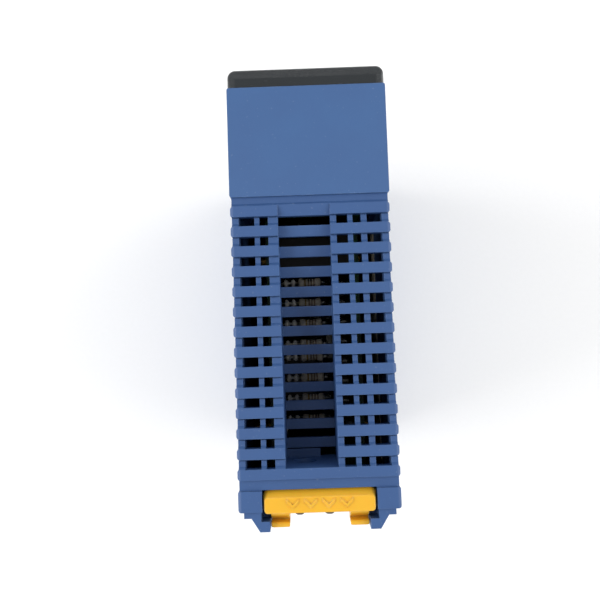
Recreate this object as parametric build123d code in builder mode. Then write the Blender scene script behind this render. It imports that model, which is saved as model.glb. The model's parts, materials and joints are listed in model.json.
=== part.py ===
"""Rack-mounted PLC input/output module, built piece by piece in millimetres.

+X is the width, -Y the front with the display and the terminals, +Y the rear with the
release lever, hooks and bus connector, +Z is up. The module stands on z = 0 and the
origin is the middle of the underside of its box.
"""
import os

from build123d import *

os.makedirs("parts", exist_ok=True)

# ---------------------------------------------------------------- driving dimensions
WIDTH = 28.9
HEIGHT = 100.0
DEPTH = 83.2

COVER_DEPTH = 3.4  # the tinted covers stand this far in front of the blue case
FRONT_CASE_DEPTH = 20.1
HOOK_DEPTH = 3.5  # the rear hooks stand this far behind the rear face

RIB_COUNT = 14
RIB_PITCH = 3.615
RIB_LENGTH = 1.9
RIB_RISE = 0.3  # ribs stand this far out of the side walls
BAR_RISE = 0.55  # grille bars stand this far above the posts between the windows
BAR_RAMP = 0.5
SHADOW_GROOVE = 0.22
RIB_ZONE = 14.0  # ribs run this far down and up the side walls
EDGE_RADIUS = 0.7

FACE_WALL = 1.8
GRILLE = 1.6

CHANNEL_LEFT = -3.6
CHANNEL_RIGHT = 5.85
CHANNEL_DEPTH = 13.0
CHANNEL_SLOPE_END = 20.0
CHANNEL_WALL = 1.05
CHANNEL_FLOOR = 1.2

SCREW_HOLE_RADIUS = 2.25  # clearance for an M4 fixing screw
SCREW_HOLE_X = 2.4
SCREW_HOLE_Z = 91.9

LEVER_WIDTH = 20.1
LEVER_TRAVEL = 2.0
LEVER_GAP = 0.15
LEVER_TOP = 99.8
LEVER_THICKNESS = 3.0

TERMINAL_ROWS = 9
TERMINAL_PITCH = 7.0
TERMINAL_X = 6.8
BLADE_X = 2.2

BOARD_THICKNESS = 1.6
BOARD_TOP = 84.0
BOARD_BOTTOM = 6.0
IO_BOARD_FACE = 7.4  # component side of the input board
LOGIC_BOARD_FACE = -8.0  # component side of the logic board

# ---------------------------------------------------------------- derived places
HALF = WIDTH / 2
GROOVE = HALF - RIB_RISE
COVER_FRONT = -DEPTH / 2
FRONT_FACE = COVER_FRONT + COVER_DEPTH
SPLIT = FRONT_FACE + FRONT_CASE_DEPTH
REAR_FACE = DEPTH / 2 - HOOK_DEPTH
FIRST_RIB = SPLIT + 1.7
RIB_STARTS = [FIRST_RIB + RIB_PITCH * index for index in range(RIB_COUNT)]
WINDOW_LENGTH = RIB_PITCH - RIB_LENGTH
CHANNEL_END = RIB_STARTS[-1]
POST_TOP = HEIGHT - BAR_RISE
CAVITY = 12.85
CAVITY_REAR = 34.1
RING_DEPTH = 2.6
RING = 11.5
COLLAR = 12.55
COLLAR_GAP = 1.9
COLLAR_LOW = 3.0
BLOCK_FRONT = REAR_FACE - 3.7

WINDOW_MIDDLES = [start + RIB_LENGTH + WINDOW_LENGTH / 2 for start in RIB_STARTS[:-1]]
WINDOW_COLUMNS = [(-12.93, -10.2), (-9.15, -7.65), (-6.75, -4.7), (7.65, 9.2), (10.1, 12.95)]
BOTTOM_COLUMNS = WINDOW_COLUMNS + [(CHANNEL_LEFT, CHANNEL_RIGHT)]

CONNECTOR_WALLS = [(-3.0, -0.9), (2.75, 4.75)]
CONNECTOR_LEFT = CONNECTOR_WALLS[0][0]
CONNECTOR_RIGHT = CONNECTOR_WALLS[1][1]
CONNECTOR_BOTTOM = 33.0
CONNECTOR_BODY_TOP = 82.0
CONNECTOR_TOP = 89.2
CONNECTOR_REAR = 41.25
BUS_BOARD_FRONT = 31.4
BUS_BOARD_REAR = BUS_BOARD_FRONT + BOARD_THICKNESS

STEM_INNER = 5.4
STEM_OUTER = 8.72
STEM_FRONT = 35.15
STEM_REAR = 37.15
STEM_BOTTOM = 78.0
POCKET_BOTTOM = 68.0
POCKET_INNER = STEM_INNER - LEVER_GAP
POCKET_OUTER = STEM_OUTER + LEVER_GAP
HOOK_INNER = 8.89
HOOK_ROOT = 10.4
PAD_BEVEL = 1.15  # length of the slope at the front of the pad
PAD_BEVEL_RISE = 1.35
LIP_RADIUS = 0.45
CHEVRON = [(-1.1, -0.9), (0, 0.2), (1.1, -0.9), (1.1, -0.2), (0, 0.9), (-1.1, -0.2)]
WIRE_RADIUS = 0.18
COIL_RADIUS = 0.78
SPRING_TURNS = 8
NOTCH_FLOOR = LEVER_TOP - LEVER_THICKNESS - LEVER_TRAVEL - 0.2

SHELF_BOTTOM = 75.2
SHELF_TOP = 77.5
BAY_BACK = -24.0
BAY_WALL_REAR = -22.4
BLOCK_FACE = -37.6
BLOCK_REAR = -25.5
BLOCK_LOW = 3.0
BLOCK_HIGH = 74.6
BLOCK_MIDDLE = (BLOCK_LOW + BLOCK_HIGH) / 2
TERMINAL_FLOOR = -32.1
TERMINAL_Z = [
    BLOCK_MIDDLE + TERMINAL_PITCH * (row - (TERMINAL_ROWS - 1) / 2)
    for row in range(TERMINAL_ROWS)
]
TERMINAL_HOLE = 1.75
TERMINALS = [(x, z) for z in TERMINAL_Z for x in (-TERMINAL_X, TERMINAL_X)]
BLADES = [(x, z) for z in TERMINAL_Z for x in (-BLADE_X, BLADE_X)]
HEADER_HALF = 4.5
HEADER_LOW = 8.0
HEADER_HIGH = 69.5
HEADER_REAR = -21.5
TERMINAL_BOARD = -20.1
BLOCK_SCREW_Z = [5.4, 72.2]
INSERT_RADIUS = 2.1
BLOCK_SCREW_HOLE = 1.35
HINGE_X = -12.9
HINGE_Y = -40.1
PIN_RADIUS = 0.55
PIN_CLEARANCE = 0.05
LUG_ZONES = [(3.2, 7.4), (70.2, 74.4)]
KNUCKLE_ZONES = [(7.6, 11.0), (66.6, 70.0)]

LAMP_COLUMNS = 4
LAMP_ROWS = 4
LAMP_PITCH_X = 5.4
LAMP_PITCH_Z = 4.1
LAMP_Z = 88.0
LAMPS = [
    (
        LAMP_PITCH_X * (column - (LAMP_COLUMNS - 1) / 2),
        LAMP_Z + LAMP_PITCH_Z * (row - (LAMP_ROWS - 1) / 2),
    )
    for column in range(LAMP_COLUMNS)
    for row in range(LAMP_ROWS)
]
COVER_HALF = 14.3
PEG_RADIUS = 0.9
MASK_REAR = FRONT_FACE + 1.2
LAMP_BOARD_FRONT = -34.6
LAMP_BOARD_REAR = LAMP_BOARD_FRONT + 1.2

BOARD_SCREWS = [(-12.0, 12.0), (-12.0, 50.0), (27.0, 12.0), (27.0, 72.0)]
RESISTOR_Z = 81.0
RESISTOR_PITCH = 4.17
RESISTOR_Y = [first + RESISTOR_PITCH * index for first in (-3.75, 11.45) for index in range(4)]


def box(low, high):
    """A rectangular block between two opposite corners, outside any part."""
    size = [b - a for a, b in zip(low, high)]
    centre = [(a + b) / 2 for a, b in zip(low, high)]
    return Pos(*centre) * Box(*size, mode=Mode.PRIVATE)


def bar_x(start, end, radius, y, z):
    """A round bar along X, outside any part."""
    upright = Cylinder(radius, end - start, mode=Mode.PRIVATE)
    return Pos((start + end) / 2, y, z) * Rot(0, 90, 0) * upright


def bar_y(start, end, radius, x, z):
    """A round bar along Y, outside any part."""
    upright = Cylinder(radius, end - start, mode=Mode.PRIVATE)
    return Pos(x, (start + end) / 2, z) * Rot(90, 0, 0) * upright


def bar_z(start, end, radius, x, y):
    """An upright round bar, outside any part."""
    return Pos(x, y, (start + end) / 2) * Cylinder(radius, end - start, mode=Mode.PRIVATE)


def channel_outline(drop, start, end, top):
    """Side outline of the screwdriver channel, its floor lowered by drop, as (y, z) points."""
    low = HEIGHT - CHANNEL_DEPTH - drop
    return [(start, HEIGHT - drop), (CHANNEL_SLOPE_END, low), (end, low), (end, top), (start, top)]


# ---------------------------------------------------------------- rear housing
# Blue moulding with louvred top and bottom, ribbed sides, the screwdriver channel,
# the lever notch, and the hooks that hang it on its base.
with BuildPart() as rear_housing:
    add(
        [
            box((-GROOVE, SPLIT, BAR_RISE), (GROOVE, REAR_FACE, POST_TOP)),
            box((-HALF, SPLIT + 0.6, RIB_ZONE), (HALF, BLOCK_FRONT, HEIGHT - RIB_ZONE)),
        ]
    )

    # Ribs and bars, and the plain block at the rear.
    for base in (0, HEIGHT - RIB_ZONE):
        with BuildSketch(Plane.XY.offset(base)):
            with Locations(*[(0, start + RIB_LENGTH / 2) for start in RIB_STARTS]):
                RectangleRounded(WIDTH, RIB_LENGTH, 0.55)
        extrude(amount=RIB_ZONE)
    with BuildSketch(Plane.XY):
        with Locations((0, (BLOCK_FRONT + REAR_FACE) / 2)):
            RectangleRounded(WIDTH, REAR_FACE - BLOCK_FRONT, 0.5)
    extrude(amount=HEIGHT)

    # Each bar has a ramp in front of it.
    with BuildSketch(Plane.YZ):
        for start in RIB_STARTS:
            with Locations((start, POST_TOP)):
                Polygon((-BAR_RAMP, 0), (0, 0), (0, BAR_RISE), align=None)
            with Locations((start, BAR_RISE)):
                Polygon((-BAR_RAMP, 0), (0, 0), (0, -BAR_RISE), align=None)
    extrude(amount=GROOVE, both=True)

    # Rounded long top edges.
    with BuildSketch(Plane.XZ.offset(-REAR_FACE)):
        for side in (-1, 1):
            with Locations((side * (HALF - EDGE_RADIUS / 2), HEIGHT - EDGE_RADIUS / 2)):
                Rectangle(EDGE_RADIUS, EDGE_RADIUS)
        for side in (-1, 1):
            with Locations((side * (HALF - EDGE_RADIUS), HEIGHT - EDGE_RADIUS)):
                Circle(EDGE_RADIUS, mode=Mode.SUBTRACT)
    extrude(amount=REAR_FACE - SPLIT, mode=Mode.SUBTRACT)

    # Inside: a wide cavity behind a narrower front ring, and a thinner lower rear wall.
    ring_end = SPLIT + RING_DEPTH
    add(
        [
            box((-CAVITY, ring_end, FACE_WALL), (CAVITY, CAVITY_REAR, POST_TOP - GRILLE)),
            box((-RING, SPLIT, COLLAR_LOW), (RING, ring_end, HEIGHT - COLLAR_LOW)),
            box((-CAVITY, CAVITY_REAR, FACE_WALL), (CAVITY, 36.1, 64)),
        ],
        mode=Mode.SUBTRACT,
    )

    # Collar that plugs into the front case.
    with BuildSketch(Plane.XZ.offset(-SPLIT)):
        with Locations((0, HEIGHT / 2)):
            Rectangle(2 * COLLAR, HEIGHT - 2 * COLLAR_GAP)
            Rectangle(2 * RING, HEIGHT - 2 * COLLAR_LOW, mode=Mode.SUBTRACT)
    extrude(amount=3)

    # Screwdriver channel: walls and sloping floor first, then the open space.
    with BuildSketch(Plane.YZ.offset(CHANNEL_LEFT - CHANNEL_WALL)):
        Polygon(*channel_outline(CHANNEL_FLOOR, FIRST_RIB + 0.2, CAVITY_REAR, POST_TOP), align=None)
    extrude(amount=CHANNEL_RIGHT - CHANNEL_LEFT + 2 * CHANNEL_WALL)
    with BuildSketch(Plane.YZ.offset(CHANNEL_LEFT)):
        Polygon(*channel_outline(0, FIRST_RIB - 0.4, CHANNEL_END, HEIGHT), align=None)
    extrude(amount=CHANNEL_RIGHT - CHANNEL_LEFT, mode=Mode.SUBTRACT)

    # Fine groove behind each bar.
    with BuildSketch(Plane.XY.offset(POST_TOP - 0.3)):
        with Locations(*[(0, start + RIB_LENGTH + SHADOW_GROOVE / 2) for start in RIB_STARTS[:-1]]):
            Rectangle(WIDTH, SHADOW_GROOVE)
    extrude(amount=1, mode=Mode.SUBTRACT)

    # Ventilation windows: through the grille, the channel floor and the underside.
    with BuildSketch(Plane.XY.offset(POST_TOP - GRILLE)):
        for left, right in WINDOW_COLUMNS:
            with Locations(*[((left + right) / 2, y) for y in WINDOW_MIDDLES]):
                Rectangle(right - left, WINDOW_LENGTH)
    extrude(amount=GRILLE + BAR_RISE, mode=Mode.SUBTRACT)
    with BuildSketch(Plane.XY.offset(HEIGHT - CHANNEL_DEPTH - 3)):
        with Locations(*[((CHANNEL_LEFT + CHANNEL_RIGHT) / 2, y) for y in WINDOW_MIDDLES]):
            Rectangle(CHANNEL_RIGHT - CHANNEL_LEFT, WINDOW_LENGTH)
    extrude(amount=CHANNEL_DEPTH + 3, mode=Mode.SUBTRACT)
    with BuildSketch(Plane.XY):
        for left, right in BOTTOM_COLUMNS:
            with Locations(*[((left + right) / 2, y) for y in WINDOW_MIDDLES]):
                Rectangle(right - left, WINDOW_LENGTH)
    extrude(amount=FACE_WALL, mode=Mode.SUBTRACT)

    # Seat under the fixing screw.
    seat_top = HEIGHT - CHANNEL_DEPTH + 0.3
    add(box((-0.6, CHANNEL_END - 1.5, seat_top - 1.5), (CHANNEL_RIGHT, CHANNEL_END, seat_top)))

    # Screw hole, notch for the lever's pad, pockets for its stems and springs, opening
    # for the bus connector and recess for the rating label.
    notch_half = LEVER_WIDTH / 2 + LEVER_GAP
    stem_pockets = [
        box(
            (min(side * POCKET_INNER, side * POCKET_OUTER), STEM_FRONT - LEVER_GAP, POCKET_BOTTOM),
            (max(side * POCKET_INNER, side * POCKET_OUTER), STEM_REAR + LEVER_GAP, NOTCH_FLOOR),
        )
        for side in (-1, 1)
    ]
    shroud_slots = [
        box((left, 36, CONNECTOR_BODY_TOP), (right, REAR_FACE, CONNECTOR_TOP))
        for left, right in CONNECTOR_WALLS
    ]
    add(
        [
            bar_y(CHANNEL_END - 1.6, REAR_FACE, SCREW_HOLE_RADIUS, SCREW_HOLE_X, SCREW_HOLE_Z),
            box((-notch_half, BLOCK_FRONT - 0.1, NOTCH_FLOOR), (notch_half, REAR_FACE, HEIGHT)),
            box(
                (CONNECTOR_LEFT, CAVITY_REAR, CONNECTOR_BOTTOM),
                (CONNECTOR_RIGHT, REAR_FACE, CONNECTOR_BODY_TOP),
            ),
            box((-HALF, -8, 26), (-HALF + 0.2, 30, 74)),
        ]
        + stem_pockets
        + shroud_slots,
        mode=Mode.SUBTRACT,
    )

    # Hooks: a boss, a slanted arm and a blunt tip, at the top and near the bottom.
    hook = [
        (13.45, REAR_FACE),
        (13.45, REAR_FACE + 1.1),
        (12.15, REAR_FACE + 1.1),
        (10.65, DEPTH / 2),
        (HOOK_INNER, DEPTH / 2),
        (HOOK_INNER, REAR_FACE + 1.0),
        (HOOK_ROOT, REAR_FACE + 1.0),
        (HOOK_ROOT, REAR_FACE),
    ]
    for base, rise in ((3.0, 6.0), (91.0, 8.6)):
        with BuildSketch(Plane.XY.offset(base)):
            for side in (-1, 1):
                Polygon(*[(side * x, y) for x, y in hook], align=None)
        extrude(amount=rise)
    with BuildSketch(Plane.XY.offset(HEIGHT - 4)):
        with Locations(*[(side * (HOOK_INNER + HOOK_ROOT) / 2, REAR_FACE + 1.35) for side in (-1, 1)]):
            Rectangle(HOOK_ROOT - HOOK_INNER + 0.05, 0.7)
    extrude(amount=4, mode=Mode.SUBTRACT)
rear_housing.part.label = "rear_housing"
export_step(rear_housing.part, "parts/rear_housing.step")

# ---------------------------------------------------------------- front case
# Smooth blue moulding: display chamber above, terminal bay below, back wall between
# the bay and the electronics.
inner = HALF - FACE_WALL
with BuildPart() as front_housing:
    add(box((-HALF, FRONT_FACE, 0), (HALF, SPLIT, HEIGHT)))
    fillet(front_housing.edges().filter_by(Axis.Z), 0.4)
    add(
        [
            box((-inner, BAY_WALL_REAR, FACE_WALL), (inner, SPLIT, HEIGHT - FACE_WALL)),
            box((-inner, FRONT_FACE, SHELF_TOP), (inner, BAY_WALL_REAR, HEIGHT - FACE_WALL)),
            box((-12.8, FRONT_FACE, 2.6), (12.8, BAY_BACK, SHELF_BOTTOM - 0.1)),
            box((-HEADER_HALF, BAY_BACK, HEADER_LOW), (HEADER_HALF, BAY_WALL_REAR, HEADER_HIGH)),
        ]
        + [bar_y(BAY_BACK, BAY_WALL_REAR, INSERT_RADIUS, 0, z) for z in BLOCK_SCREW_Z],
        mode=Mode.SUBTRACT,
    )
front_housing.part.label = "front_housing"
export_step(front_housing.part, "parts/front_housing.step")

# ---------------------------------------------------------------- display
# Tinted cover over the indicator lamps, with a snap tab on each side.
with BuildPart() as display_cover:
    add(box((-COVER_HALF, COVER_FRONT, 76.5), (COVER_HALF, FRONT_FACE, 99.8)))
    fillet(display_cover.edges().filter_by(Axis.Z).group_by(Axis.Y)[0], 1.5)
    fillet(display_cover.faces().sort_by(Axis.Y)[0].edges().filter_by(Axis.X), 0.5)
    add(box((-13.1, COVER_FRONT + 1.2, 77.7), (13.1, FRONT_FACE, 98.6)), mode=Mode.SUBTRACT)
    tabs = []
    for side in (-1, 1):
        tab = sorted((side * 12.2, side * inner))
        root = sorted((side * 12.2, side * 13.2))
        tabs.append(box((tab[0], FRONT_FACE - 0.8, 84), (tab[1], -35.2, 92)))
        tabs.append(box((root[0], FRONT_FACE - 0.8, 84), (root[1], FRONT_FACE, 92)))
    add(tabs)
display_cover.part.label = "display_cover"
export_step(display_cover.part, "parts/display_cover.step")

# Plate with a round window for each lamp.
with BuildPart() as indicator_mask:
    add(box((-12.1, FRONT_FACE, SHELF_TOP + 0.1), (12.1, MASK_REAR, HEIGHT - FACE_WALL - 0.1)))
    add([bar_y(FRONT_FACE, MASK_REAR, PEG_RADIUS + 0.1, x, z) for x, z in LAMPS], mode=Mode.SUBTRACT)
indicator_mask.part.label = "indicator_mask"
export_step(indicator_mask.part, "parts/indicator_mask.step")

# Clear plate with a peg in each window.
with BuildPart() as light_guide:
    add(box((-11.5, MASK_REAR, 79), (11.5, MASK_REAR + 1.0, 97)))
    add([bar_y(FRONT_FACE - 0.2, MASK_REAR, PEG_RADIUS, x, z) for x, z in LAMPS])
light_guide.part.label = "light_guide"
export_step(light_guide.part, "parts/light_guide.step")

with BuildPart() as indicator_board:
    add(box((-inner, LAMP_BOARD_FRONT, SHELF_TOP + 0.6), (inner, LAMP_BOARD_REAR, 97.6)))
indicator_board.part.label = "indicator_board"
export_step(indicator_board.part, "parts/indicator_board.step")

with BuildPart() as indicator_leds:
    with Locations(*[(x, LAMP_BOARD_FRONT - 0.4, z) for x, z in LAMPS]):
        Box(1.6, 0.8, 1.0)
indicator_leds.part.label = "indicator_leds"
export_step(indicator_leds.part, "parts/indicator_leds.step")

with BuildPart() as display_connector:
    add(box((LOGIC_BOARD_FACE, LAMP_BOARD_REAR, 82), (-4.5, LAMP_BOARD_REAR + 4.5, 92)))
display_connector.part.label = "display_connector"
export_step(display_connector.part, "parts/display_connector.step")

# ---------------------------------------------------------------- terminal block
# Removable block: two columns of screw terminals, hinge lugs for its cover.
with BuildPart() as terminal_block:
    add(box((-12.6, BLOCK_FACE, BLOCK_LOW), (12.6, BLOCK_REAR, BLOCK_HIGH)))
    pockets = [box((x - 5, BLOCK_FACE, z - 3), (x + 5, TERMINAL_FLOOR, z + 3)) for x, z in TERMINALS]
    wells = [bar_y(TERMINAL_FLOOR, BLOCK_REAR - 1, TERMINAL_HOLE, x, z) for x, z in TERMINALS]
    sockets = [box((x - 0.6, -31.4, z - 1.7), (x + 0.6, BLOCK_REAR, z + 1.7)) for x, z in BLADES]
    screw_holes = [bar_y(BLOCK_FACE, BLOCK_REAR, BLOCK_SCREW_HOLE, 0, z) for z in BLOCK_SCREW_Z]
    head_wells = [bar_y(BLOCK_FACE, BLOCK_FACE + 2.2, 2.35, 0, z) for z in BLOCK_SCREW_Z]
    add(pockets + wells + sockets + screw_holes + head_wells, mode=Mode.SUBTRACT)
    for low, high in LUG_ZONES:
        add(
            [
                box((-12.5, HINGE_Y, low), (-11, BLOCK_FACE, high)),
                box((HINGE_X, HINGE_Y - 0.8, low), (-11, HINGE_Y + 0.8, high)),
                bar_z(low, high, 0.9, HINGE_X, HINGE_Y),
            ]
        )
        add(bar_z(low, high, PIN_RADIUS, HINGE_X, HINGE_Y), mode=Mode.SUBTRACT)
terminal_block.part.label = "terminal_block"
export_step(terminal_block.part, "parts/terminal_block.step")

plate_front = TERMINAL_FLOOR - 0.8
washer_front = plate_front - 0.7
head_front = washer_front - 2

# Contact plate under each terminal screw.
with BuildPart() as terminal_plates:
    with Locations(*[(x, plate_front + 0.4, z) for x, z in TERMINALS]):
        Box(9.6, 0.8, 5.6)
    bores = [bar_y(plate_front, TERMINAL_FLOOR, TERMINAL_HOLE, x, z) for x, z in TERMINALS]
    add(bores, mode=Mode.SUBTRACT)
terminal_plates.part.label = "terminal_plates"
export_step(terminal_plates.part, "parts/terminal_plates.step")

# Square self-lifting washers.
with BuildPart() as terminal_washers:
    with Locations(*[(x, washer_front + 0.35, z) for x, z in TERMINALS]):
        Box(5.6, 0.7, 5.4)
    bores = [bar_y(washer_front, plate_front, TERMINAL_HOLE, x, z) for x, z in TERMINALS]
    add(bores, mode=Mode.SUBTRACT)
terminal_washers.part.label = "terminal_washers"
export_step(terminal_washers.part, "parts/terminal_washers.step")

# Cross-slotted terminal screws.
with BuildPart() as terminal_screws:
    add([bar_y(head_front, washer_front, 2.7, x, z) for x, z in TERMINALS])
    add([bar_y(washer_front, -27.5, 1.55, x, z) for x, z in TERMINALS])
    with Locations(*[(x, head_front + 0.5, z) for x, z in TERMINALS]):
        Box(3.8, 1, 0.8, mode=Mode.SUBTRACT)
        Box(0.8, 1, 3.8, mode=Mode.SUBTRACT)
terminal_screws.part.label = "terminal_screws"
export_step(terminal_screws.part, "parts/terminal_screws.step")

# Captive screws that hold the block in its bay.
with BuildPart() as block_screws:
    for z in BLOCK_SCREW_Z:
        add(bar_y(BLOCK_FACE + 0.4, BLOCK_FACE + 2.2, 2.2, 0, z))
        add(bar_y(BLOCK_FACE + 2.2, BAY_WALL_REAR, 1.2, 0, z))
        slot = box((-1.7, BLOCK_FACE + 0.4, z - 0.3), (1.7, BLOCK_FACE + 1.3, z + 0.3))
        add(slot, mode=Mode.SUBTRACT)
block_screws.part.label = "block_screws"
export_step(block_screws.part, "parts/block_screws.step")

# Brass inserts that the captive screws turn into.
with BuildPart() as block_screw_inserts:
    add([bar_y(BAY_BACK, BAY_WALL_REAR, INSERT_RADIUS, 0, z) for z in BLOCK_SCREW_Z])
    bores = [bar_y(BAY_BACK, BAY_WALL_REAR, BLOCK_SCREW_HOLE, 0, z) for z in BLOCK_SCREW_Z]
    add(bores, mode=Mode.SUBTRACT)
block_screw_inserts.part.label = "block_screw_inserts"
export_step(block_screw_inserts.part, "parts/block_screw_inserts.step")

with BuildPart() as cover_hinge_pins:
    add(bar_z(LUG_ZONES[0][0] + 0.3, KNUCKLE_ZONES[0][1] - 0.4, PIN_RADIUS, HINGE_X, HINGE_Y))
    add(bar_z(KNUCKLE_ZONES[1][0] + 0.4, LUG_ZONES[1][1] - 0.3, PIN_RADIUS, HINGE_X, HINGE_Y))
cover_hinge_pins.part.label = "cover_hinge_pins"
export_step(cover_hinge_pins.part, "parts/cover_hinge_pins.step")

# Tinted door over the terminals, with a knuckle beside each lug.
door_rear = FRONT_FACE - 0.5
lug_gaps = [
    box((-COVER_HALF, COVER_FRONT, low - 0.2), (-10.8, door_rear, high + 0.2))
    for low, high in LUG_ZONES
]
with BuildPart() as terminal_cover:
    add(box((-COVER_HALF, COVER_FRONT, 1), (COVER_HALF, door_rear, 75.8)))
    fillet(terminal_cover.edges().filter_by(Axis.Z).group_by(Axis.Y)[0], 1.5)
    add(
        [
            box((-13.3, COVER_FRONT + 1.1, 2), (13.3, door_rear, 74.8)),
            box((-COVER_HALF, door_rear - 0.5, 1), (-11.8, door_rear, 75.8)),
        ]
        + lug_gaps,
        mode=Mode.SUBTRACT,
    )
    for low, high in KNUCKLE_ZONES:
        add(
            [
                bar_z(low, high, 0.95, HINGE_X, HINGE_Y),
                box((HINGE_X, HINGE_Y - 0.9, low), (-11.4, HINGE_Y + 0.5, high)),
            ]
        )
        add(bar_z(low, high, PIN_RADIUS + PIN_CLEARANCE, HINGE_X, HINGE_Y), mode=Mode.SUBTRACT)
terminal_cover.part.label = "terminal_cover"
export_step(terminal_cover.part, "parts/terminal_cover.step")

# Blank name card inside the door.
card_front = COVER_FRONT + 1.1
with BuildPart() as terminal_name_card:
    add(box((-9.5, card_front, 5), (12.5, card_front + 0.25, 72)))
terminal_name_card.part.label = "terminal_name_card"
export_step(terminal_name_card.part, "parts/terminal_name_card.step")

# ---------------------------------------------------------------- header behind the block
with BuildPart() as block_header:
    add(box((-HEADER_HALF, BAY_BACK, HEADER_LOW), (HEADER_HALF, HEADER_REAR, HEADER_HIGH)))
    add(
        [box((x - 0.4, BAY_BACK, z - 1.4), (x + 0.4, HEADER_REAR, z + 1.4)) for x, z in BLADES],
        mode=Mode.SUBTRACT,
    )
block_header.part.label = "block_header"
export_step(block_header.part, "parts/block_header.step")

with BuildPart() as header_blades:
    add([box((x - 0.4, -31.0, z - 1.4), (x + 0.4, TERMINAL_BOARD, z + 1.4)) for x, z in BLADES])
header_blades.part.label = "header_blades"
export_step(header_blades.part, "parts/header_blades.step")

with BuildPart() as terminal_board:
    low = (LOGIC_BOARD_FACE, TERMINAL_BOARD, BOARD_BOTTOM)
    add(box(low, (IO_BOARD_FACE, TERMINAL_BOARD + BOARD_THICKNESS, 74)))
terminal_board.part.label = "terminal_board"
export_step(terminal_board.part, "parts/terminal_board.step")

# ---------------------------------------------------------------- circuit boards
io_back = IO_BOARD_FACE + BOARD_THICKNESS
logic_back = LOGIC_BOARD_FACE - BOARD_THICKNESS
sheet_face = -CAVITY + 0.25

with BuildPart() as io_board:
    add(box((IO_BOARD_FACE, TERMINAL_BOARD, BOARD_BOTTOM), (io_back, BUS_BOARD_REAR, BOARD_TOP)))
    add([bar_x(IO_BOARD_FACE, io_back, 1.4, y, z) for y, z in BOARD_SCREWS], mode=Mode.SUBTRACT)
io_board.part.label = "io_board"
export_step(io_board.part, "parts/io_board.step")

# The logic board has a tongue that reaches forward to the display.
with BuildPart() as logic_board:
    far = (LOGIC_BOARD_FACE, BUS_BOARD_REAR, BOARD_TOP)
    add(
        [
            box((logic_back, TERMINAL_BOARD, BOARD_BOTTOM), far),
            box((logic_back, LAMP_BOARD_REAR, 80), (LOGIC_BOARD_FACE, -15, 94)),
        ]
    )
    add([bar_x(logic_back, LOGIC_BOARD_FACE, 1.4, y, z) for y, z in BOARD_SCREWS], mode=Mode.SUBTRACT)
logic_board.part.label = "logic_board"
export_step(logic_board.part, "parts/logic_board.step")

with BuildPart() as insulating_sheet:
    add(box((-CAVITY, -14, BOARD_BOTTOM), (sheet_face, 33, BOARD_TOP)))
insulating_sheet.part.label = "insulating_sheet"
export_step(insulating_sheet.part, "parts/insulating_sheet.step")

with BuildPart() as board_spacers:
    for radius, mode in ((2.6, Mode.ADD), (1.3, Mode.SUBTRACT)):
        add([bar_x(io_back, CAVITY, radius, y, z) for y, z in BOARD_SCREWS], mode=mode)
        add([bar_x(sheet_face, logic_back, radius, y, z) for y, z in BOARD_SCREWS], mode=mode)
board_spacers.part.label = "board_spacers"
export_step(board_spacers.part, "parts/board_spacers.step")

with BuildPart() as board_screws:
    for y, z in BOARD_SCREWS:
        add(
            [
                bar_x(IO_BOARD_FACE - 1.5, IO_BOARD_FACE, 2.3, y, z),
                bar_x(IO_BOARD_FACE, CAVITY - 0.6, 1.25, y, z),
                bar_x(LOGIC_BOARD_FACE, LOGIC_BOARD_FACE + 1.5, 2.3, y, z),
                bar_x(sheet_face + 0.4, LOGIC_BOARD_FACE, 1.25, y, z),
            ]
        )
    head_faces = (IO_BOARD_FACE - 1.5, LOGIC_BOARD_FACE + 1.5)
    heads = [(face, y, z) for face in head_faces for y, z in BOARD_SCREWS]
    with Locations(*heads):
        Box(1.2, 3, 0.6, mode=Mode.SUBTRACT)
board_screws.part.label = "board_screws"
export_step(board_screws.part, "parts/board_screws.step")

# Pin header and socket that join the two boards.
with BuildPart() as board_link_socket:
    add(box((LOGIC_BOARD_FACE, -14, 66), (-4.9, -5.6, 83.5)))
board_link_socket.part.label = "board_link_socket"
export_step(board_link_socket.part, "parts/board_link_socket.step")

with BuildPart() as board_link_header:
    add(box((-4.9, -13.5, 67), (IO_BOARD_FACE, -6.1, 78)))
board_link_header.part.label = "board_link_header"
export_step(board_link_header.part, "parts/board_link_header.step")

# ---------------------------------------------------------------- components
with BuildPart() as input_resistors:
    add([bar_x(-1.9, 2.7, 0.95, y, RESISTOR_Z) for y in RESISTOR_Y])
input_resistors.part.label = "input_resistors"
export_step(input_resistors.part, "parts/input_resistors.step")

# Bent leads with two solder collars between each resistor and its board.
lead_z = RESISTOR_Z - 2.8
with BuildPart() as resistor_leads:
    for y in RESISTOR_Y:
        add(
            [
                bar_x(2.7, IO_BOARD_FACE, 0.3, y, RESISTOR_Z),
                bar_x(3.3, 4.2, 0.62, y, RESISTOR_Z),
                bar_x(4.75, 5.65, 0.62, y, RESISTOR_Z),
                bar_x(-2.8, -1.9, 0.3, y, RESISTOR_Z),
                bar_z(lead_z, RESISTOR_Z, 0.3, -2.8, y),
                bar_x(-2.8, IO_BOARD_FACE, 0.3, y, lead_z),
            ]
        )
resistor_leads.part.label = "resistor_leads"
export_step(resistor_leads.part, "parts/resistor_leads.step")

with BuildPart() as optocouplers:
    middle_x = LOGIC_BOARD_FACE + 1.25
    with Locations(*[(middle_x, -4 + 4.6 * index, z) for index in range(8) for z in (46, 56)]):
        Box(2.5, 4.2, 6.4)
optocouplers.part.label = "optocouplers"
export_step(optocouplers.part, "parts/optocouplers.step")

with BuildPart() as electrolytic_capacitors:
    add([bar_x(0.4, IO_BOARD_FACE, 3.0, y, 21) for y in (-8, 2, 12)])
    fillet(electrolytic_capacitors.faces().filter_by(Axis.X).sort_by(Axis.X)[:3].edges(), 0.4)
electrolytic_capacitors.part.label = "electrolytic_capacitors"
export_step(electrolytic_capacitors.part, "parts/electrolytic_capacitors.step")

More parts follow.
